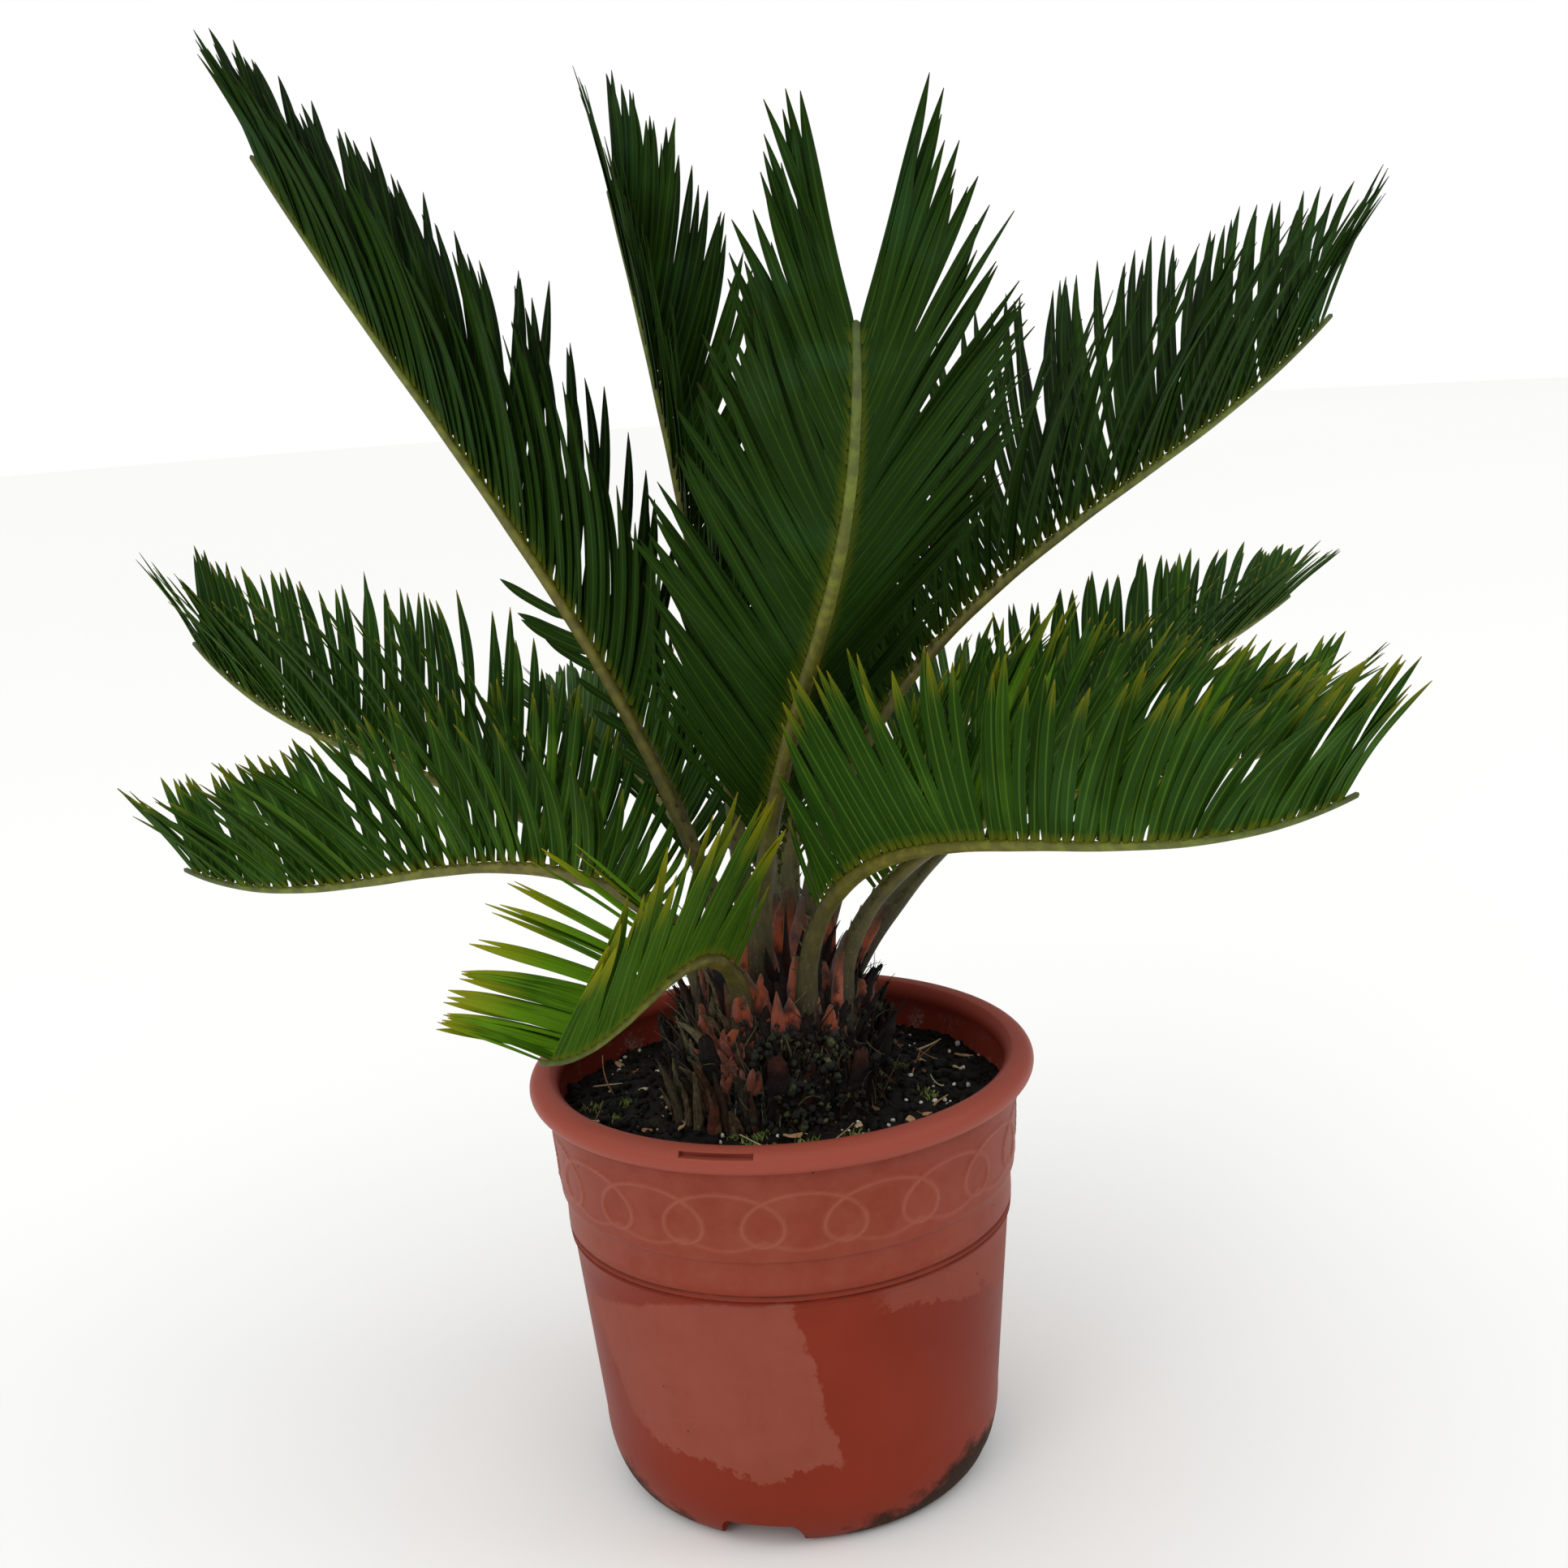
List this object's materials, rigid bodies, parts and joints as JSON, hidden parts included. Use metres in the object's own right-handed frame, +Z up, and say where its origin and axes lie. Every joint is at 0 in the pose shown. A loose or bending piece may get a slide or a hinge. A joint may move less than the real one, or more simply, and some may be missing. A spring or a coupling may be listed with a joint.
{
  "type": "potted sago palm",
  "caption": "Young sago palm with stiff arching feather-shaped fronds on a short rough trunk, growing in soil in a tapered round plastic pot with a rolled rim.",
  "frame": {"origin": "on the pot's axis, on the floor that its foot ring stands on", "axes": "+Z up along the pot's axis; -Y towards the side shown in the picture, with the label slot a little to its left; +X to that view's right"},
  "size_m": [0.6317, 0.5523, 0.6843],
  "materials": {
    "pot_plastic": "moulded, matt, faint chalky water marks",
    "potting_soil": "crumbly, dark",
    "trunk_bark": "rough, fibrous",
    "frond_stalk": "satin, fine down near the foot",
    "upper_leaflet": "stiff, waxy",
    "lower_leaflet": "stiff, waxy"
  },
  "bodies": {
    "root": {"pot": "pot_plastic", "soil": "potting_soil", "trunk": "trunk_bark", "frond_1_stem": "frond_stalk", "frond_2_stem": "frond_stalk", "frond_3_stem": "frond_stalk", "frond_4_stem": "frond_stalk", "frond_5_stem": "frond_stalk", "frond_6_stem": "frond_stalk", "frond_7_stem": "frond_stalk", "frond_8_stem": "frond_stalk", "frond_9_stem": "frond_stalk", "frond_10_stem": "frond_stalk", "frond_11_stem": "frond_stalk", "frond_12_stem": "frond_stalk", "frond_13_stem": "frond_stalk", "frond_14_stem": "frond_stalk", "stump_1": "trunk_bark", "stump_2": "trunk_bark", "stump_3": "trunk_bark", "stump_4": "trunk_bark", "stump_5": "trunk_bark", "stump_6": "trunk_bark", "stump_7": "trunk_bark", "stump_8": "trunk_bark", "stump_9": "trunk_bark", "stump_10": "trunk_bark", "frond_1_leaflets_left": "upper_leaflet", "frond_1_leaflets_right": "upper_leaflet", "frond_2_leaflets_left": "upper_leaflet", "frond_2_leaflets_right": "upper_leaflet", "frond_3_leaflets_left": "upper_leaflet", "frond_3_leaflets_right": "upper_leaflet", "frond_4_leaflets_left": "upper_leaflet", "frond_4_leaflets_right": "upper_leaflet", "frond_5_leaflets_left": "upper_leaflet", "frond_5_leaflets_right": "upper_leaflet", "frond_6_leaflets_left": "lower_leaflet", "frond_6_leaflets_right": "lower_leaflet", "frond_7_leaflets_left": "lower_leaflet", "frond_7_leaflets_right": "lower_leaflet", "frond_8_leaflets_left": "lower_leaflet", "frond_8_leaflets_right": "lower_leaflet", "frond_9_leaflets_left": "lower_leaflet", "frond_9_leaflets_right": "lower_leaflet", "frond_10_leaflets_left": "lower_leaflet", "frond_10_leaflets_right": "lower_leaflet", "frond_11_leaflets_left": "lower_leaflet", "frond_11_leaflets_right": "lower_leaflet", "frond_12_leaflets_left": "lower_leaflet", "frond_12_leaflets_right": "lower_leaflet", "frond_13_leaflets_left": "lower_leaflet", "frond_13_leaflets_right": "lower_leaflet", "frond_14_leaflets_left": "lower_leaflet", "frond_14_leaflets_right": "lower_leaflet"}
  },
  "joints": []
}
